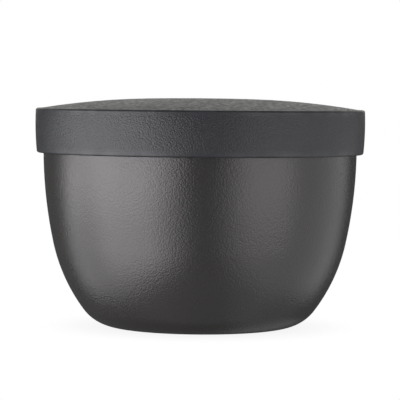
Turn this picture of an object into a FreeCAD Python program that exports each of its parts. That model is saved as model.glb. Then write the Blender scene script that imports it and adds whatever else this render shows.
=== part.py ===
"""Go stone bowl: a round moulded bowl with a loose, overlapping lid.

Frame: +Z up along the axis of both mouldings, origin at the centre of the foot's standing plane.
All sizes are in millimetres and come from the spreadsheet "Dims".
"""

import FreeCAD, Part

import math
import os

import Sketcher
from FreeCAD import Vector

# Driving dimensions: alias, value and what it measures.
DIMENSIONS = [
    ("wall", 2.6, "wall thickness of the bowl's side"),
    ("floor", 3.4, "height of the bowl's inner floor above the standing plane"),
    ("neck_radius", 61.8, "outer radius of the bowl's straight neck"),
    ("rim_height", 83.5, "top of the bowl's rim, where the lid sits"),
    ("shoulder_height", 70.6, "where the straight neck ends and the flank starts to curve"),
    ("flank_radius", 176.6, "radius of the long flank arc"),
    ("belly_height", 33.2, "where the flank arc meets the belly arc"),
    ("belly_radius", 68.5, "radius of the belly arc"),
    ("heel_radius", 16.8, "radius of the heel arc that runs into the foot"),
    ("rim_round", 0.8, "rounding of the bowl's rim, inside and outside"),
    ("recess_radius", 27.5, "radius of the recess inside the standing ring"),
    ("recess_depth", 0.8, "depth of that recess"),
    ("recess_round", 0.3, "rounding of the recess's edge"),
    ("dimple_radius", 3.0, "radius of the moulding gate's dimple"),
    ("dimple_depth", 1.2, "depth of the dimple above the standing plane"),
    ("gate_radius", 0.8, "radius of the gate's stub"),
    ("gate_depth", 0.9, "height of the stub's tip above the standing plane"),
    ("lid_radius", 65.0, "largest outer radius of the lid's skirt"),
    ("lid_height", 86.0, "height of the flat land round the lid's dome"),
    ("skirt_height", 68.5, "height of the skirt's lower edge"),
    ("waist_height", 80.5, "height at which the skirt is widest"),
    ("barrel_radius", 120.0, "radius of the skirt's gentle barrel arc"),
    ("skirt_bore", 62.25, "inner radius of the skirt, a loose fit on the neck"),
    ("plate", 2.5, "thickness of the lid's top"),
    ("dome_rise", 4.2, "rise of the dome above the land"),
    ("crown_radius", 915.0, "radius of the dome's middle arc"),
    ("crown_reach", 20.9, "how far out the middle arc runs"),
    ("dome_radius", 295.0, "radius of the dome's outer arc"),
    ("seat_radius", 57.8, "inner radius of the flat seat under the lid"),
    ("shoulder_round", 0.9, "rounding between the lid's land and its skirt"),
    ("hem_round", 0.8, "rounding of the skirt's lower outer edge"),
    ("hem_chamfer", 0.4, "lead-in chamfer of the skirt's lower inner edge"),
    ("seat_round", 0.3, "rounding of the seat's step"),
    ("corner_round", 0.7, "rounding where the skirt's bore meets the seat"),
    ("land_round", 6.0, "rounding where the dome meets the land"),
]
SIZE = {alias: value for alias, value, _ in DIMENSIONS}

START, END, CENTRE = 1, 2, 3  # Sketcher's numbers for the points of an edge
HORIZONTAL_AXIS, VERTICAL_AXIS = -1, -2
ORIGIN_POINT = (HORIZONTAL_AXIS, START)
TOLERANCE = 0.01


def make_sheet(doc):
    """Puts the driving dimensions into a spreadsheet whose aliases the features are bound to."""
    sheet = doc.addObject("Spreadsheet::Sheet", "Dims")
    for row, (alias, value, meaning) in enumerate(DIMENSIONS, start=1):
        sheet.set(f"A{row}", meaning)
        sheet.set(f"B{row}", str(value))
        sheet.setAlias(f"B{row}", alias)
    doc.recompute()
    return sheet


def new_sketch(body, name):
    """A sketch on the body's own XZ plane: its x is the radius and its y is the height."""
    plane = next(f for f in body.Origin.OriginFeatures if f.Role == "XZ_Plane")
    sketch = body.newObject("Sketcher::SketchObject", name)
    sketch.AttachmentSupport = [(plane, "")]
    sketch.MapMode = "FlatFace"
    return sketch


def line(sketch, start, end):
    return sketch.addGeometry(Part.LineSegment(Vector(*start, 0), Vector(*end, 0)))


def arc(sketch, centre, radius, start_angle, end_angle):
    circle = Part.Circle(Vector(*centre, 0), Vector(0, 0, 1), radius)
    return sketch.addGeometry(Part.ArcOfCircle(circle, start_angle, end_angle))


def on_circle(centre, radius, angle):
    return (centre[0] + radius * math.cos(angle), centre[1] + radius * math.sin(angle))


def join(sketch, kind, first, second):
    """A coincident or tangent join between two (edge, point) pairs."""
    sketch.addConstraint(Sketcher.Constraint(kind, *first, *second))


def distance(sketch, direction, first, second, value, expression):
    """A dimension between two (edge, point) pairs, bound to the spreadsheet."""
    index = sketch.addConstraint(Sketcher.Constraint(f"Distance{direction}", *first, *second, value))
    sketch.setExpression(f"Constraints[{index}]", expression)


def radius_of(sketch, edge, value, expression):
    index = sketch.addConstraint(Sketcher.Constraint("Radius", edge, value))
    sketch.setExpression(f"Constraints[{index}]", expression)


def straighten(sketch, horizontal=(), vertical=()):
    for edge in horizontal:
        sketch.addConstraint(Sketcher.Constraint("Horizontal", edge))
    for edge in vertical:
        sketch.addConstraint(Sketcher.Constraint("Vertical", edge))


def revolve(body, name, kind, sketch):
    """A full turn of the sketch about the object's axis: PartDesign's Revolution or Groove."""
    feature = body.newObject(f"PartDesign::{kind}", name)
    feature.Profile = sketch
    feature.ReferenceAxis = (sketch, ["V_Axis"])
    feature.Angle = 360.0
    sketch.Visibility = False
    body.Document.recompute()
    return feature


def ring_edges(feature, radius, height):
    """The names of the feature's circular edges of that radius, round the axis at that height."""
    names = []
    for number, edge in enumerate(feature.Shape.Edges, start=1):
        if edge.Degenerated or not isinstance(edge.Curve, Part.Circle):
            continue
        off_radius = abs(edge.Curve.Radius - radius)
        off_height = abs(edge.Curve.Center.z - height)
        if max(off_radius, off_height) < TOLERANCE:
            names.append(f"Edge{number}")
    if not names:
        raise ValueError(f"{feature.Name} has no ring edge of radius {radius:.3f} at {height:.3f}")
    return names


def dress(body, name, kind, rings, size):
    """A Fillet or Chamfer on the ring edges given as (radius, height), sized by the alias."""
    base = body.Tip
    feature = body.newObject(f"PartDesign::{kind}", name)
    feature.Base = (base, [edge for ring in rings for edge in ring_edges(base, *ring)])
    feature.setExpression("Radius" if kind == "Fillet" else "Size", f"Dims.{size}")
    body.Document.recompute()
    return feature


def side_arcs(inset, floor):
    """Centre, radius and lower angle of the bowl's three tangent side arcs, moved in by inset."""
    flank, belly, heel = (SIZE[k] - inset for k in ("flank_radius", "belly_radius", "heel_radius"))
    shoulder = SIZE["shoulder_height"]
    flank_end = -math.asin((shoulder - SIZE["belly_height"]) / SIZE["flank_radius"])
    flank_centre = (SIZE["neck_radius"] - inset - flank, shoulder)
    belly_centre = on_circle(flank_centre, flank - belly, flank_end)
    belly_end = -math.asin((belly_centre[1] - floor - heel) / (belly - heel))
    heel_centre = on_circle(belly_centre, belly - heel, belly_end)
    return (
        (flank_centre, flank, flank_end),
        (belly_centre, belly, belly_end),
        (heel_centre, heel, -math.pi / 2),
    )


def side_sketch(body, name, inset, floor, top, inset_text, floor_text, top_text):
    """Half of the bowl's section: floor, three tangent side arcs and a straight neck.

    The outside has no inset. The inside is moved in by the wall, so its arcs stay concentric.
    """
    neck, shoulder = SIZE["neck_radius"] - inset, SIZE["shoulder_height"]
    flank, belly, heel = side_arcs(inset, floor)

    sketch = new_sketch(body, name)
    floor_line = line(sketch, (0, floor), (heel[0][0], floor))
    heel_arc = arc(sketch, heel[0], heel[1], heel[2], belly[2])
    belly_arc = arc(sketch, belly[0], belly[1], belly[2], flank[2])
    flank_arc = arc(sketch, flank[0], flank[1], flank[2], 0)
    neck_line = line(sketch, (neck, shoulder), (neck, top))
    lip = line(sketch, (neck, top), (0, top))
    axis = line(sketch, (0, top), (0, floor))

    join(sketch, "Tangent", (floor_line, END), (heel_arc, START))
    join(sketch, "Tangent", (heel_arc, END), (belly_arc, START))
    join(sketch, "Tangent", (belly_arc, END), (flank_arc, START))
    join(sketch, "Tangent", (flank_arc, END), (neck_line, START))
    join(sketch, "Coincident", (neck_line, END), (lip, START))
    join(sketch, "Coincident", (lip, END), (axis, START))
    join(sketch, "Coincident", (axis, END), (floor_line, START))
    straighten(sketch, horizontal=(floor_line, lip), vertical=(neck_line,))
    for point in (START, END):
        sketch.addConstraint(Sketcher.Constraint("PointOnObject", axis, point, VERTICAL_AXIS))

    radius_of(sketch, flank_arc, flank[1], f"Dims.flank_radius{inset_text}")
    radius_of(sketch, belly_arc, belly[1], f"Dims.belly_radius{inset_text}")
    radius_of(sketch, heel_arc, heel[1], f"Dims.heel_radius{inset_text}")
    distance(sketch, "X", ORIGIN_POINT, (neck_line, START), neck, f"Dims.neck_radius{inset_text}")
    distance(sketch, "Y", ORIGIN_POINT, (neck_line, START), shoulder, "Dims.shoulder_height")
    distance(sketch, "Y", ORIGIN_POINT, (lip, START), top, top_text)
    meeting_drop = -flank[1] * math.sin(flank[2])
    drop_text = (
        f"(Dims.flank_radius{inset_text}) * "
        "(Dims.shoulder_height - Dims.belly_height) / Dims.flank_radius"
    )
    distance(sketch, "Y", (flank_arc, START), (flank_arc, END), meeting_drop, drop_text)
    if floor_text:
        distance(sketch, "Y", ORIGIN_POINT, (floor_line, START), floor, floor_text)
    else:
        sketch.addConstraint(
            Sketcher.Constraint("PointOnObject", floor_line, START, HORIZONTAL_AXIS)
        )
    return sketch


def recess_sketch(body):
    """Half of the section cut from under the foot: recess, gate dimple, and the gate's stub."""
    sketch = new_sketch(body, "recess_outline")
    corners = [
        ((0, 0), None, None),
        ((SIZE["recess_radius"], 0), "recess_radius", None),
        ((SIZE["recess_radius"], SIZE["recess_depth"]), None, "recess_depth"),
        ((SIZE["dimple_radius"], SIZE["recess_depth"]), "dimple_radius", None),
        ((SIZE["dimple_radius"], SIZE["dimple_depth"]), None, "dimple_depth"),
        ((SIZE["gate_radius"], SIZE["dimple_depth"]), "gate_radius", None),
        ((SIZE["gate_radius"], SIZE["gate_depth"]), None, "gate_depth"),
        ((0, SIZE["gate_depth"]), None, None),
    ]
    count = len(corners)
    edges = [line(sketch, corners[i][0], corners[(i + 1) % count][0]) for i in range(count)]
    for i, edge in enumerate(edges):
        join(sketch, "Coincident", (edge, END), (edges[(i + 1) % count], START))
    straighten(sketch, horizontal=edges[0::2], vertical=edges[1::2])
    join(sketch, "Coincident", (edges[0], START), ORIGIN_POINT)
    for edge, (point, across, up) in zip(edges, corners):
        if across:
            distance(sketch, "X", ORIGIN_POINT, (edge, START), point[0], f"Dims.{across}")
        if up:
            distance(sketch, "Y", ORIGIN_POINT, (edge, START), point[1], f"Dims.{up}")
    return sketch


def make_bowl(doc):
    """The bowl: a turned outer form, hollowed out, with a recessed foot and a rounded rim."""
    body = doc.addObject("PartDesign::Body", "Bowl")
    body.Label = "bowl"
    rim, wall = SIZE["rim_height"], SIZE["wall"]
    outside = side_sketch(body, "bowl_outline", 0.0, 0.0, rim, "", "", "Dims.rim_height")
    revolve(body, "outer_form", "Revolution", outside)
    inside = side_sketch(
        body,
        "well_outline",
        wall,
        SIZE["floor"],
        rim + wall,
        " - Dims.wall",
        "Dims.floor",
        "Dims.rim_height + Dims.wall",
    )
    revolve(body, "stone_well", "Groove", inside)
    revolve(body, "foot_recess", "Groove", recess_sketch(body))
    rim_rings = [(SIZE["neck_radius"], rim), (SIZE["neck_radius"] - wall, rim)]
    dress(body, "rounded_rim", "Fillet", rim_rings, "rim_round")
    recess = SIZE["recess_radius"]
    recess_rings = [(recess, 0.0), (recess, SIZE["recess_depth"])]
    dress(body, "rounded_recess", "Fillet", recess_rings, "recess_round")
    return body


def dome_arcs(inset=0.0):
    """Centres, radii and end angle of the dome's two tangent arcs, moved inwards by inset."""
    apex = SIZE["lid_height"] + SIZE["dome_rise"]
    crown, dome = SIZE["crown_radius"], SIZE["dome_radius"]
    meet = math.pi / 2 - math.asin(SIZE["crown_reach"] / crown)
    crown_centre = (0.0, apex - crown)
    dome_centre = on_circle(crown_centre, crown - dome, meet)
    return crown_centre, crown - inset, dome_centre, dome - inset, meet


def draw_dome(sketch, inset, edge_angle, inset_text):
    """Adds the dome's two arcs with their constraints, and returns (outer arc, middle arc)."""
    crown_centre, crown, dome_centre, dome, meet = dome_arcs(inset)
    outer = arc(sketch, dome_centre, dome, edge_angle, meet)
    middle = arc(sketch, crown_centre, crown, meet, math.pi / 2)
    join(sketch, "Tangent", (outer, END), (middle, START))
    for edge, point in ((middle, CENTRE), (middle, END)):
        sketch.addConstraint(Sketcher.Constraint("PointOnObject", edge, point, VERTICAL_AXIS))
    radius_of(sketch, outer, dome, f"Dims.dome_radius{inset_text}")
    radius_of(sketch, middle, crown, f"Dims.crown_radius{inset_text}")
    apex = crown_centre[1] + crown
    apex_text = f"Dims.lid_height + Dims.dome_rise{inset_text}"
    distance(sketch, "Y", ORIGIN_POINT, (middle, END), apex, apex_text)
    reach = crown * math.cos(meet)
    reach_text = f"Dims.crown_reach * (Dims.crown_radius{inset_text}) / Dims.crown_radius"
    distance(sketch, "X", ORIGIN_POINT, (middle, START), reach, reach_text)
    return outer, middle


def barrel_reach(height):
    """Outer radius of the skirt's barrel arc at a height."""
    centre = SIZE["lid_radius"] - SIZE["barrel_radius"]
    return centre + math.sqrt(SIZE["barrel_radius"] ** 2 - (height - SIZE["waist_height"]) ** 2)


def lid_outline(body):
    """Half of the lid's outer section, closed across the skirt's lower edge and up the axis."""
    land, hem, waist = SIZE["lid_height"], SIZE["skirt_height"], SIZE["waist_height"]
    barrel = SIZE["barrel_radius"]
    barrel_centre = (SIZE["lid_radius"] - barrel, waist)
    _, _, dome_centre, dome, _ = dome_arcs()
    land_angle = math.asin((land - dome_centre[1]) / dome)
    land_start = on_circle(dome_centre, dome, land_angle)

    sketch = new_sketch(body, "lid_outline")
    hem_line = line(sketch, (0, hem), (barrel_reach(hem), hem))
    skirt = arc(
        sketch,
        barrel_centre,
        barrel,
        math.asin((hem - waist) / barrel),
        math.asin((land - waist) / barrel),
    )
    land_line = line(sketch, (barrel_reach(land), land), land_start)
    outer, middle = draw_dome(sketch, 0.0, land_angle, "")
    axis = line(sketch, (0, land + SIZE["dome_rise"]), (0, hem))

    join(sketch, "Coincident", (hem_line, END), (skirt, START))
    join(sketch, "Coincident", (skirt, END), (land_line, START))
    join(sketch, "Coincident", (land_line, END), (outer, START))
    join(sketch, "Coincident", (middle, END), (axis, START))
    join(sketch, "Coincident", (axis, END), (hem_line, START))
    straighten(sketch, horizontal=(hem_line, land_line))
    sketch.addConstraint(Sketcher.Constraint("PointOnObject", axis, END, VERTICAL_AXIS))
    radius_of(sketch, skirt, barrel, "Dims.barrel_radius")
    offset = barrel - SIZE["lid_radius"]
    offset_text = "Dims.barrel_radius - Dims.lid_radius"
    distance(sketch, "X", (skirt, CENTRE), ORIGIN_POINT, offset, offset_text)
    distance(sketch, "Y", ORIGIN_POINT, (skirt, CENTRE), waist, "Dims.waist_height")
    distance(sketch, "Y", ORIGIN_POINT, (axis, END), hem, "Dims.skirt_height")
    distance(sketch, "Y", ORIGIN_POINT, (land_line, START), land, "Dims.lid_height")
    return sketch, land_start[0]


def hollow_outline(body):
    """Half of the section cut from under the lid: the skirt's bore, the seat, and the dome."""
    bore, seat_radius, plate = SIZE["skirt_bore"], SIZE["seat_radius"], SIZE["plate"]
    seat = SIZE["lid_height"] - plate
    below = SIZE["skirt_height"] - plate
    _, _, dome_centre, dome, _ = dome_arcs(plate)
    edge_angle = math.acos((seat_radius - dome_centre[0]) / dome)
    edge = on_circle(dome_centre, dome, edge_angle)

    sketch = new_sketch(body, "hollow_outline")
    mouth = line(sketch, (0, below), (bore, below))
    bore_line = line(sketch, (bore, below), (bore, seat))
    seat_line = line(sketch, (bore, seat), (seat_radius, seat))
    step = line(sketch, (seat_radius, seat), edge)
    outer, middle = draw_dome(sketch, plate, edge_angle, " - Dims.plate")
    axis = line(sketch, (0, SIZE["lid_height"] + SIZE["dome_rise"] - plate), (0, below))

    join(sketch, "Coincident", (mouth, END), (bore_line, START))
    join(sketch, "Coincident", (bore_line, END), (seat_line, START))
    join(sketch, "Coincident", (seat_line, END), (step, START))
    join(sketch, "Coincident", (step, END), (outer, START))
    join(sketch, "Coincident", (middle, END), (axis, START))
    join(sketch, "Coincident", (axis, END), (mouth, START))
    straighten(sketch, horizontal=(mouth, seat_line), vertical=(bore_line, step))
    sketch.addConstraint(Sketcher.Constraint("PointOnObject", axis, END, VERTICAL_AXIS))
    distance(sketch, "X", ORIGIN_POINT, (bore_line, START), bore, "Dims.skirt_bore")
    distance(sketch, "X", ORIGIN_POINT, (step, START), seat_radius, "Dims.seat_radius")
    distance(sketch, "Y", ORIGIN_POINT, (seat_line, START), seat, "Dims.lid_height - Dims.plate")
    below_text = "Dims.skirt_height - Dims.plate"
    distance(sketch, "Y", ORIGIN_POINT, (axis, END), below, below_text)
    return sketch, edge[1]


def make_lid(doc):
    """The lid: a shallow dome with a flat land and a deep skirt that overlaps the bowl's neck."""
    body = doc.addObject("PartDesign::Body", "Lid")
    body.Label = "lid"
    outline, land_radius = lid_outline(body)
    revolve(body, "lid_form", "Revolution", outline)
    hollow, step_height = hollow_outline(body)
    revolve(body, "lid_hollow", "Groove", hollow)
    land, hem = SIZE["lid_height"], SIZE["skirt_height"]
    seat = land - SIZE["plate"]
    bore, seat_radius = SIZE["skirt_bore"], SIZE["seat_radius"]
    dress(body, "rounded_land", "Fillet", [(land_radius, land)], "land_round")
    dress(body, "rounded_shoulder", "Fillet", [(barrel_reach(land), land)], "shoulder_round")
    dress(body, "rounded_hem", "Fillet", [(barrel_reach(hem), hem)], "hem_round")
    dress(body, "lead_in", "Chamfer", [(bore, hem)], "hem_chamfer")
    dress(body, "rounded_corner", "Fillet", [(bore, seat)], "corner_round")
    step_rings = [(seat_radius, seat), (seat_radius, step_height)]
    dress(body, "rounded_seat", "Fillet", step_rings, "seat_round")
    return body


def check(doc, bodies):
    """Stops if any object failed to compute, or if a sub-part isn't one sound solid."""
    for thing in doc.Objects:
        if {"Invalid", "Error"} & set(thing.State):
            raise RuntimeError(f"{thing.Name} failed: {thing.State}")
        if thing.TypeId == "Sketcher::SketchObject" and not thing.FullyConstrained:
            raise RuntimeError(f"sketch {thing.Name} isn't fully constrained")
    for body in bodies:
        shape = body.Shape
        if shape.isNull() or not shape.isValid() or len(shape.Solids) != 1:
            raise RuntimeError(f"{body.Label} isn't one valid solid")


def describe(body):
    box = body.Shape.optimalBoundingBox(False)
    volume_cm3 = body.Shape.Volume / 1000
    print(
        f"{body.Label}: {box.XLength:.2f} x {box.YLength:.2f} x {box.ZLength:.2f} mm, "
        f"from z {box.ZMin:.2f} to {box.ZMax:.2f}, {volume_cm3:.2f} cm3"
    )


def main():
    doc = FreeCAD.newDocument("go_stone_bowl")
    make_sheet(doc)
    bodies = [make_bowl(doc), make_lid(doc)]
    doc.recompute()
    check(doc, bodies)
    os.makedirs("parts", exist_ok=True)
    for body in bodies:
        body.Shape.exportStep(os.path.join("parts", f"{body.Label}.step"))
        describe(body)


main()
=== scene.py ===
"""Looks of the go stone bowl: two turned, grained mouldings on a pale floor in soft studio light.

Lengths in the outlines are in millimetres, as in the design; everything in the scene is in metres.
"""

import math

import bpy
from mathutils import Matrix, Vector


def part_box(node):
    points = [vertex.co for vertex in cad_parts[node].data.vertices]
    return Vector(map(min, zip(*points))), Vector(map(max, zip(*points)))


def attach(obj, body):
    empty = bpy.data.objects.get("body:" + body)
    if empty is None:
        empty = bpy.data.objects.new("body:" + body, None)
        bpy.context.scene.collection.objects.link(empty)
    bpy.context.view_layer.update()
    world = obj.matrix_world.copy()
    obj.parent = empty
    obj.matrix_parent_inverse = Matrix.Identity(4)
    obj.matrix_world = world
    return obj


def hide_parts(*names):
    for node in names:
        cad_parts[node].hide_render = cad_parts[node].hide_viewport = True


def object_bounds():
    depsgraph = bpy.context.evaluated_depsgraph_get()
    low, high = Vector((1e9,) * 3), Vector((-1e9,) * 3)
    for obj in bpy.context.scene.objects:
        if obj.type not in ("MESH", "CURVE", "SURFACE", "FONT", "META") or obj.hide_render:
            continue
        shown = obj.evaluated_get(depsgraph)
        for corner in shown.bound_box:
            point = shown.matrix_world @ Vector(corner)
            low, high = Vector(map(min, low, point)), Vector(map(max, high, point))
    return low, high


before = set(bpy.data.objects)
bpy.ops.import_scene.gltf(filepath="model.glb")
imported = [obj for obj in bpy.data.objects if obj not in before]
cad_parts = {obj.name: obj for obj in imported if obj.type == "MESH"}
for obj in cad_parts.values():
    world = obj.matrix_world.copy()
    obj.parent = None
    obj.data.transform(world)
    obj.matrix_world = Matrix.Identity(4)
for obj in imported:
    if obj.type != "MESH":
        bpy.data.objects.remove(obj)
cad_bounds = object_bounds()

MM = 0.001

# Turned outlines: sizes that the frame's boxes don't give, in millimetres.
WALL = 2.6
FLOOR_HEIGHT = 3.4
SHOULDER_HEIGHT = 70.6
FLANK_RADIUS = 176.6
BELLY_HEIGHT = 33.2
BELLY_RADIUS = 68.5
HEEL_RADIUS = 16.8
RIM_ROUND = 0.8
RECESS_RADIUS = 27.5
RECESS_DEPTH = 0.8
RECESS_ROUND = 0.3
DIMPLE_RADIUS = 3.0
DIMPLE_DEPTH = 1.2
GATE_RADIUS = 0.8
GATE_DEPTH = 0.9
GATE_ROUND = 0.15
LAND_HEIGHT = 86.0
WAIST_HEIGHT = 80.5
BARREL_RADIUS = 120.0
SKIRT_BORE = 62.25
PLATE = 2.5
CROWN_RADIUS = 915.0
CROWN_REACH = 20.9
DOME_RADIUS = 295.0
SEAT_RADIUS = 57.8
SHOULDER_ROUND = 0.9
HEM_ROUND = 0.8
HEM_CHAMFER = 0.4
SEAT_ROUND = 0.3
CORNER_ROUND = 0.7
LAND_ROUND = 6.0

TURNS = 360  # facets round the axis
ROUND_STEPS = 8  # facets across each rounded corner
SIDE_STEPS = 6  # facets along each straight side
ON_AXIS = 1e-7  # a ring with a smaller radius is one point on the axis
FACET = math.radians(1.5)  # turn of one facet along a large arc
SHARP_ANGLE = math.radians(35)

# Share of the grain that is left on the lid's hem and shoulder, and where the heel starts.
EDGE_GRAIN = 0.3
HEEL_GRAIN = 0.5

# The leather grain: its cells, its slower swells, and the warp that makes the cells uneven.
GRAIN_CELL = 0.65 * MM
BOWL_GRAIN_DEPTH = 0.085 * MM
LID_GRAIN_DEPTH = 0.17 * MM
GRAIN_SMOOTHNESS = 0.35
GRAIN_SWELL = 0.3  # share of the height that slower swells take
SWELL_CELL = 1.5 * MM
SWELL_DETAIL = 1.0
WARP_CELL = 1.3 * MM
WARP_DETAIL = 2.0
WARP_REACH = 0.35 * MM

# Larger drifts in tone and gloss, rubbed edges, and scuffs. A range is of the noise's values.
NOISE_MIDDLE = 0.5
DRIFT_CELL = 28 * MM
DRIFT_DETAIL = 3.0
DRIFT_RANGE = (0.3, 0.7)
ROUGHNESS_DRIFT = 0.015
RUB_CELL = 6 * MM
RUB_DETAIL = 4.0
RUB_RANGE = (0.35, 0.6)
RUB_TONE = 0.6
RUB_GLOSS = 0.06
SCUFF_CELL = 1.8 * MM
SCUFF_DETAIL = 3.0
SCUFF_GLOSS = 0.7

# Each plastic: two tones, the tone of its rubbed edges, its roughness, and its specular tint.
BOWL_TONES = ((0.0215, 0.0203, 0.0196, 1.0), (0.0195, 0.0185, 0.0180, 1.0))
BOWL_RUBBED = (0.040, 0.038, 0.037, 1.0)
BOWL_ROUGHNESS = 0.27
BOWL_TINT = (1.0, 0.96, 1.0)
LID_TONES = ((0.0085, 0.0092, 0.0112, 1.0), (0.0070, 0.0077, 0.0096, 1.0))
LID_RUBBED = (0.022, 0.023, 0.026, 1.0)
LID_ROUGHNESS = 0.47
LID_TINT = (0.96, 0.95, 1.0)

# Softboxes round the object, each with its azimuth, elevation, width, height, brightness and, if
# it isn't white, its colour. Azimuth, in degrees, is towards the left of the camera's view and
# elevation is above the horizon. Width and height are in metres. Brightness 1 is white.
SOFTBOX_DISTANCE = 2.0
WHITE = (1.0, 1.0, 1.0)
WARM_WHITE = (1.0, 1.0, 0.955)
SOFTBOXES = {
    "key": (63, -1, 4.6, 0.9, 2.55),
    "key_core": (77, 13, 1.0, 0.9, 2.4),
    "key_wide": (68, -24, 4.9, 1.7, 1.75),
    "key_front": (57, -15, 1.9, 1.6, 2.1),
    "strip": (-49, -7, 1.6, 1.1, 1.55),
    "fill": (-76, -9, 6.6, 2.9, 1.0),
    "bounce": (-100, -58, 4.9, 1.0, 0.3),
    "sweep": (0, -65, 5.0, 2.0, 0.22),
    "backdrop": (180, 8, 1.6, 0.5, 1.25, WARM_WHITE),
    "backdrop_high": (180, 32, 3.0, 0.9, 0.86, WARM_WHITE),
    "overhead_front": (0, 50, 4.0, 1.5, 0.35),
    "backdrop_top": (180, 62, 3.0, 1.2, 0.8),
}

ROOM_BRIGHTNESS = 0.08

FLOOR_SIZE = 8.0
FLOOR_BRIGHTNESS = 1.0
SHADOW_BRIGHTNESS = 0.9
SHADOW_REACH = 22 * MM
SHADOW_SAMPLES = 8
OPEN_SKY = 0.9  # share of open sky above which the floor has no shadow

# The camera's place is in metres, and its lens and sensor are in millimetres.
CAMERA_PLACE = (0.00012, -0.8958, 0.09285)
CAMERA_DOWN = math.radians(2.742)
CAMERA_ROLL = math.radians(0.471)
CAMERA_LENS = 203.9
SENSOR_WIDTH = 36.0


def point(radius, height, rounding=0.0, grain=1.0, wear=0.0, scuff=0.0):
    """One point of an outline: its corner's rounding, and its share of grain, wear and scuffs."""
    shares = {"grain": grain, "wear": wear, "scuff": scuff}
    return {"at": Vector((radius, height)), "round": rounding, **shares}


def arc(centre, radius, start, end, **finish):
    """Points along an arc from one angle to the other, both ends included."""
    steps = max(2, math.ceil(abs(end - start) / FACET))
    angles = [start + (end - start) * i / steps for i in range(steps + 1)]
    return [
        point(centre[0] + radius * math.cos(a), centre[1] + radius * math.sin(a), **finish)
        for a in angles
    ]


def straight(start, end, steps, **finish):
    """Points along a straight side, without its two ends."""
    start, end = Vector(start), Vector(end)
    return [point(*start.lerp(end, i / steps), **finish) for i in range(1, steps)]


def rounded(outline):
    """The outline with an arc, tangent to both sides, in place of each corner with a rounding."""
    points = []
    for i, corner in enumerate(outline):
        if not corner["round"]:
            points.append(corner)
            continue
        before = (outline[i - 1]["at"] - corner["at"]).normalized()
        after = (outline[i + 1]["at"] - corner["at"]).normalized()
        half_turn = (math.pi - before.angle(after)) / 2
        middle = (before + after).normalized()
        centre = corner["at"] + middle * corner["round"] / math.cos(half_turn)
        reach = corner["round"] * math.tan(half_turn)
        spoke = corner["at"] + before * reach - centre
        sweep = -spoke.angle_signed(corner["at"] + after * reach - centre)
        for step in range(ROUND_STEPS + 1):
            turned = Matrix.Rotation(sweep * step / ROUND_STEPS, 2) @ spoke
            points.append({**corner, "at": centre + turned, "round": 0.0})
    return points


def ring_points(ring):
    """The points of one ring round the Z axis, in metres, or its single point on the axis."""
    radius, height = ring["at"] * MM
    if radius < ON_AXIS:
        return [(0.0, 0.0, height)]
    angles = [2 * math.pi * i / TURNS for i in range(TURNS)]
    return [(radius * math.cos(a), radius * math.sin(a), height) for a in angles]


def ring_faces(starts):
    """Faces between the rings whose first points are given. The first and last are points."""
    faces = []
    for k, (low, high) in enumerate(zip(starts, starts[1:])):
        for i in range(TURNS):
            j = (i + 1) % TURNS
            if k == 0:
                faces.append((low, high + j, high + i))
            elif k == len(starts) - 2:
                faces.append((low + i, low + j, high))
            else:
                faces.append((low + i, low + j, high + j, high + i))
    return faces


def turn(name, outline):
    """A mesh turned about the Z axis from an outline that starts and ends on the axis."""
    rings = rounded(outline)
    verts, starts, finish = [], [], []
    for ring in rings:
        points = ring_points(ring)
        starts.append(len(verts))
        verts += points
        finish += [ring] * len(points)
    mesh = bpy.data.meshes.new(name)
    mesh.from_pydata(verts, [], ring_faces(starts))
    for key in ("grain", "wear", "scuff"):
        values = [ring[key] for ring in finish]
        mesh.attributes.new(key, "FLOAT", "POINT").data.foreach_set("value", values)
    mesh.shade_smooth()
    mesh.set_sharp_from_angle(angle=SHARP_ANGLE)
    mesh.validate()
    piece = bpy.data.objects.new(name, mesh)
    bpy.context.scene.collection.objects.link(piece)
    normals = piece.modifiers.new("even_normals", "WEIGHTED_NORMAL")
    normals.keep_sharp = True
    return piece


def side_arcs(neck, inset, floor, **finish):
    """The bowl's heel, belly and flank arcs from the floor up, moved inwards by inset."""
    flank, belly, heel = FLANK_RADIUS - inset, BELLY_RADIUS - inset, HEEL_RADIUS - inset
    flank_end = -math.asin((SHOULDER_HEIGHT - BELLY_HEIGHT) / FLANK_RADIUS)
    flank_centre = Vector((neck - FLANK_RADIUS, SHOULDER_HEIGHT))
    belly_centre = flank_centre + (flank - belly) * direction(flank_end)
    belly_end = -math.asin((belly_centre.y - floor - heel) / (belly - heel))
    heel_centre = belly_centre + (belly - heel) * direction(belly_end)
    return (
        arc(heel_centre, heel, -math.pi / 2, belly_end, **finish)
        + arc(belly_centre, belly, belly_end, flank_end, **finish)[1:]
        + arc(flank_centre, flank, flank_end, 0.0, **finish)[1:]
    )


def direction(angle):
    return Vector((math.cos(angle), math.sin(angle)))


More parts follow.
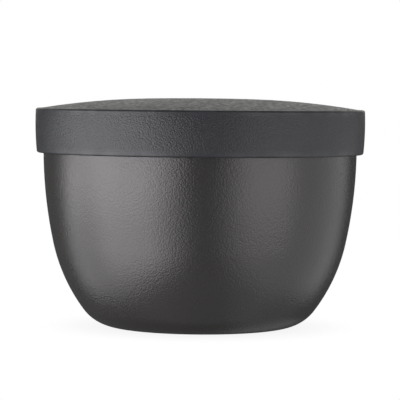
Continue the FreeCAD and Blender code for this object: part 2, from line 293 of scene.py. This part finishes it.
def bowl_outline():
    """Underside, outside, rim, inside: one closed section of the bowl."""
    _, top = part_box("bowl")
    neck, rim = top.x / MM, top.z / MM
    inner = neck - WALL
    below_rim = rim - 2 * RIM_ROUND
    smooth = {"grain": 0.0}
    edge = {"grain": 0.0, "wear": 1.0}
    under = [
        point(0, GATE_DEPTH, **smooth),
        point(GATE_RADIUS, GATE_DEPTH, GATE_ROUND, **smooth),
        point(GATE_RADIUS, DIMPLE_DEPTH, GATE_ROUND, **smooth),
        point(DIMPLE_RADIUS, DIMPLE_DEPTH, GATE_ROUND, **smooth),
        point(DIMPLE_RADIUS, RECESS_DEPTH, GATE_ROUND, **smooth),
        point(RECESS_RADIUS, RECESS_DEPTH, RECESS_ROUND, **smooth),
        point(RECESS_RADIUS, 0, RECESS_ROUND, **edge),
    ]
    outside = side_arcs(neck, 0.0, 0.0)
    outside[0].update(grain=0.0, wear=1.0)
    outside[1].update(grain=HEEL_GRAIN, wear=1.0)
    outside += straight((neck, SHOULDER_HEIGHT), (neck, below_rim), SIDE_STEPS)
    lip = [
        point(neck, below_rim),
        point(neck, rim, RIM_ROUND, **edge),
        point(inner, rim, RIM_ROUND, **edge),
        point(inner, below_rim, **smooth),
    ]
    well_side = straight((inner, below_rim), (inner, SHOULDER_HEIGHT), SIDE_STEPS, **smooth)
    well = side_arcs(neck, WALL, FLOOR_HEIGHT, **smooth)[::-1]
    return under + outside + lip + well_side + well + [point(0, FLOOR_HEIGHT, **smooth)]


def dome_centres(apex):
    """Centres of the dome's middle and outer arcs, and the angle at which the two meet."""
    meet = math.pi / 2 - math.asin(CROWN_REACH / CROWN_RADIUS)
    crown_centre = Vector((0, apex - CROWN_RADIUS))
    return crown_centre, crown_centre + (CROWN_RADIUS - DOME_RADIUS) * direction(meet), meet


def dome_arcs(apex, inset, edge_height, **finish):
    """The lid's dome from its middle out to a height, moved inwards by inset."""
    crown_centre, dome_centre, meet = dome_centres(apex)
    crown, dome = CROWN_RADIUS - inset, DOME_RADIUS - inset
    edge = math.asin((edge_height - dome_centre.y) / dome)
    middle = arc(crown_centre, crown, math.pi / 2, meet, **finish)
    return middle + arc(dome_centre, dome, meet, edge, **finish)[1:]


def dome_height(apex, inset, radius):
    """Height of the dome's outer arc, moved inwards by inset, at a radius."""
    _, centre, _ = dome_centres(apex)
    return centre.y + math.sqrt((DOME_RADIUS - inset) ** 2 - (radius - centre.x) ** 2)


def lid_outline():
    """Underside, seat, bore, hem, skirt, land, dome: one closed section of the lid."""
    low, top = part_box("lid")
    waist, hem, apex = top.x / MM, low.z / MM, top.z / MM
    seat = LAND_HEIGHT - PLATE
    step = dome_height(apex, PLATE, SEAT_RADIUS)
    smooth = {"grain": 0.0}
    edge = {"grain": 0.0, "wear": 1.0}
    inside = dome_arcs(apex, PLATE, step, **smooth)
    inside[-1]["round"] = SEAT_ROUND
    inside += [
        point(SEAT_RADIUS, seat, SEAT_ROUND, **smooth),
        point(SKIRT_BORE, seat, CORNER_ROUND, **smooth),
    ]
    lead_in = (SKIRT_BORE, hem + HEM_CHAMFER)
    inside += straight((SKIRT_BORE, seat), lead_in, SIDE_STEPS, **smooth)
    barrel_centre = Vector((waist - BARREL_RADIUS, WAIST_HEIGHT))
    low_angle = math.asin((hem - WAIST_HEIGHT) / BARREL_RADIUS)
    high_angle = math.asin((LAND_HEIGHT - WAIST_HEIGHT) / BARREL_RADIUS)
    skirt = arc(barrel_centre, BARREL_RADIUS, low_angle, high_angle)
    skirt[0].update(round=HEM_ROUND, wear=1.0, grain=EDGE_GRAIN)
    skirt[-1].update(round=SHOULDER_ROUND, wear=1.0, grain=EDGE_GRAIN)
    hem_edge = [
        point(*lead_in, **edge),
        point(SKIRT_BORE + HEM_CHAMFER, hem, **edge),
    ]
    dome = dome_arcs(apex, 0.0, LAND_HEIGHT, scuff=1.0)[::-1]
    dome[0]["round"] = LAND_ROUND
    return inside + hem_edge + skirt + dome


def node_adder(owner):
    """Clears a material's or world's nodes and returns a function that adds one.

    It fills the node's first sockets from inputs and others by name, with _ for a space in the
    name. What fills a socket is a value, or another node's output, which is linked.
    """
    owner.use_nodes = True
    tree = owner.node_tree
    tree.nodes.clear()

    def add(kind, settings=None, inputs=(), **named):
        node = tree.nodes.new("ShaderNode" + kind)
        for key, value in (settings or {}).items():
            setattr(node, key, value)
        sockets = list(zip(node.inputs, inputs))
        sockets += [(node.inputs[key.replace("_", " ")], value) for key, value in named.items()]
        for socket, value in sockets:
            if isinstance(value, bpy.types.NodeSocket):
                tree.links.new(value, socket)
            else:
                socket.default_value = value
        return node

    return add


def maths(add, operation, *values):
    return add("Math", {"operation": operation}, values).outputs[0]


def vector_maths(add, operation, *values):
    return add("VectorMath", {"operation": operation}, values).outputs[0]


def noise(add, place, cell, detail):
    return add("TexNoise", Vector=place, Scale=1 / cell, Detail=detail).outputs["Fac"]


def ramp(add, value, low, high, to_low=0.0, to_high=1.0):
    """The value, taken smoothly from one range to another."""
    settings = {"interpolation_type": "SMOOTHSTEP"}
    return add("MapRange", settings, (value, low, high, to_low, to_high)).outputs["Result"]


def blend(add, share, first, second):
    """A colour between two others."""
    node = add("MixRGB", None, (share, first, second))
    return node.outputs["Color"]


def leather(add, place):
    """Height of the moulded grain, from 0 in the creases to about 1 on the pebbles."""
    warp = add("TexNoise", Vector=place, Scale=1 / WARP_CELL, Detail=WARP_DETAIL)
    wander = vector_maths(add, "SUBTRACT", warp.outputs["Color"], (NOISE_MIDDLE,) * 3)
    wander = vector_maths(add, "MULTIPLY", wander, (WARP_REACH,) * 3)
    bent = vector_maths(add, "ADD", place, wander)
    cells = add(
        "TexVoronoi",
        {"feature": "SMOOTH_F1"},
        Vector=bent,
        Scale=1 / GRAIN_CELL,
        Smoothness=GRAIN_SMOOTHNESS,
    )
    pebbles = maths(add, "SUBTRACT", 1.0, cells.outputs["Distance"])
    pebbles = maths(add, "MULTIPLY", pebbles, 1 - GRAIN_SWELL)
    swells = noise(add, bent, SWELL_CELL, SWELL_DETAIL)
    return maths(add, "MULTIPLY_ADD", swells, GRAIN_SWELL, pebbles)


def plastic(name, tones, rubbed, roughness, tint, depth):
    """Moulded plastic, leather-grained where the mesh's grain attribute says so.

    It drifts between two tones. Where the wear attribute says so it is rubbed to a third tone and
    glossier, and where the scuff attribute says so its gloss is patchy.
    """
    material = bpy.data.materials.new(name)
    add = node_adder(material)
    place = add("TexCoord").outputs["Object"]
    grain = add("Attribute", {"attribute_name": "grain"}).outputs["Fac"]
    wear = add("Attribute", {"attribute_name": "wear"}).outputs["Fac"]
    scuff = add("Attribute", {"attribute_name": "scuff"}).outputs["Fac"]
    height = leather(add, place)
    drift = ramp(add, noise(add, place, DRIFT_CELL, DRIFT_DETAIL), *DRIFT_RANGE)
    patches = ramp(add, noise(add, place, RUB_CELL, RUB_DETAIL), *RUB_RANGE)
    rub = maths(add, "MULTIPLY", wear, patches)
    colour = blend(add, drift, *tones)
    colour = blend(add, maths(add, "MULTIPLY", rub, RUB_TONE), colour, rubbed)
    rough = ramp(add, drift, 0.0, 1.0, roughness - ROUGHNESS_DRIFT, roughness + ROUGHNESS_DRIFT)
    scuffs = noise(add, place, SCUFF_CELL, SCUFF_DETAIL)
    scuffs = maths(add, "SUBTRACT", scuffs, NOISE_MIDDLE)
    scuffs = maths(add, "MULTIPLY", scuffs, scuff)
    rough = maths(add, "MULTIPLY_ADD", scuffs, SCUFF_GLOSS, rough)
    rough = maths(add, "MULTIPLY_ADD", rub, -RUB_GLOSS, rough)
    relief = maths(add, "MULTIPLY", height, grain)
    bump = add("Bump", Strength=1.0, Distance=depth, Height=relief)
    shader = add(
        "BsdfPrincipled",
        Base_Color=colour,
        Roughness=rough,
        Normal=bump.outputs["Normal"],
        Specular_Tint=(*tint, 1.0),
    )
    add("OutputMaterial", Surface=shader.outputs["BSDF"])
    return material


def stand_in(piece, material, node):
    """Gives a piece its material, and has it stand for a CAD node on the body of the same name."""
    piece.data.materials.append(material)
    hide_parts(node)
    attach(piece, node)


def from_object(azimuth, elevation):
    """Unit vector from the object, with the azimuth to the left of the camera's view."""
    a, e = math.radians(azimuth), math.radians(elevation)
    return Vector((-math.sin(a) * math.cos(e), -math.cos(a) * math.cos(e), math.sin(e)))


def place_softbox(aim, name, azimuth, elevation, width, height, brightness, colour=WHITE):
    """A light that faces the point aim. Its power is pi times its area at brightness 1."""
    light = bpy.data.lights.new(name, "AREA")
    light.color = colour
    light.shape = "RECTANGLE"
    light.size = width
    light.size_y = height
    light.energy = brightness * math.pi * width * height
    softbox = bpy.data.objects.new(name, light)
    softbox.visible_camera = False
    bpy.context.scene.collection.objects.link(softbox)
    outwards = from_object(azimuth, elevation)
    softbox.location = aim + outwards * SOFTBOX_DISTANCE
    softbox.rotation_euler = outwards.to_track_quat("Z", "Y").to_euler()


def lay_floor():
    """A pale floor, lit evenly, with a soft shadow where the bowl stands. It has no underside."""
    mesh = bpy.data.meshes.new("floor")
    half = FLOOR_SIZE / 2
    corners = [(-half, -half, 0.0), (half, -half, 0.0), (half, half, 0.0), (-half, half, 0.0)]
    mesh.from_pydata(corners, [], [(0, 1, 2, 3)])
    floor = bpy.data.objects.new("floor", mesh)
    bpy.context.scene.collection.objects.link(floor)
    floor.visible_diffuse = False
    floor.visible_glossy = False
    floor.visible_shadow = False
    material = bpy.data.materials.new("floor_paper")
    add = node_adder(material)
    shade = add("AmbientOcclusion", {"samples": SHADOW_SAMPLES}, Distance=SHADOW_REACH)
    levels = (SHADOW_BRIGHTNESS, FLOOR_BRIGHTNESS)
    brightness = ramp(add, shade.outputs["AO"], 0.0, OPEN_SKY, *levels)
    paper = add("Emission", Color=(*WHITE, 1.0), Strength=brightness)
    nothing = add("BsdfTransparent")
    under = add("NewGeometry").outputs["Backfacing"]
    surface = add("MixShader", None, (under, paper.outputs[0], nothing.outputs[0]))
    add("OutputMaterial", Surface=surface.outputs[0])
    mesh.materials.append(material)


def light_studio():
    """White all round for the camera, and dark for the object apart from its softboxes."""
    world = bpy.data.worlds.new("studio")
    bpy.context.scene.world = world
    add = node_adder(world)
    seen = add("LightPath").outputs["Is Camera Ray"]
    strength = ramp(add, seen, 0.0, 1.0, ROOM_BRIGHTNESS, FLOOR_BRIGHTNESS)
    white = add("Background", Color=(*WHITE, 1.0), Strength=strength)
    add("OutputWorld", Surface=white.outputs[0])
    middle = (Vector(cad_bounds[0]) + Vector(cad_bounds[1])) / 2
    for name, settings in SOFTBOXES.items():
        place_softbox(middle, name, *settings)
    bpy.context.scene.view_settings.view_transform = "Standard"


def set_camera():
    """Nearly level with the lid, a little above it, and turned slightly in its own plane."""
    data = bpy.data.cameras.new("camera")
    data.sensor_width = SENSOR_WIDTH
    data.lens = CAMERA_LENS
    camera = bpy.data.objects.new("camera", data)
    level = Matrix.Rotation(math.pi / 2 - CAMERA_DOWN, 4, "X")
    roll = Matrix.Rotation(CAMERA_ROLL, 4, "Z")
    camera.matrix_world = Matrix.Translation(CAMERA_PLACE) @ level @ roll
    bpy.context.scene.collection.objects.link(camera)
    bpy.context.scene.camera = camera


bowl_finish = plastic(
    "grained_bowl",
    BOWL_TONES,
    BOWL_RUBBED,
    BOWL_ROUGHNESS,
    BOWL_TINT,
    BOWL_GRAIN_DEPTH,
)
lid_finish = plastic(
    "grained_lid",
    LID_TONES,
    LID_RUBBED,
    LID_ROUGHNESS,
    LID_TINT,
    LID_GRAIN_DEPTH,
)
stand_in(turn("bowl_shell", bowl_outline()), bowl_finish, "bowl")
stand_in(turn("lid_shell", lid_outline()), lid_finish, "lid")
lay_floor()
light_studio()
set_camera()
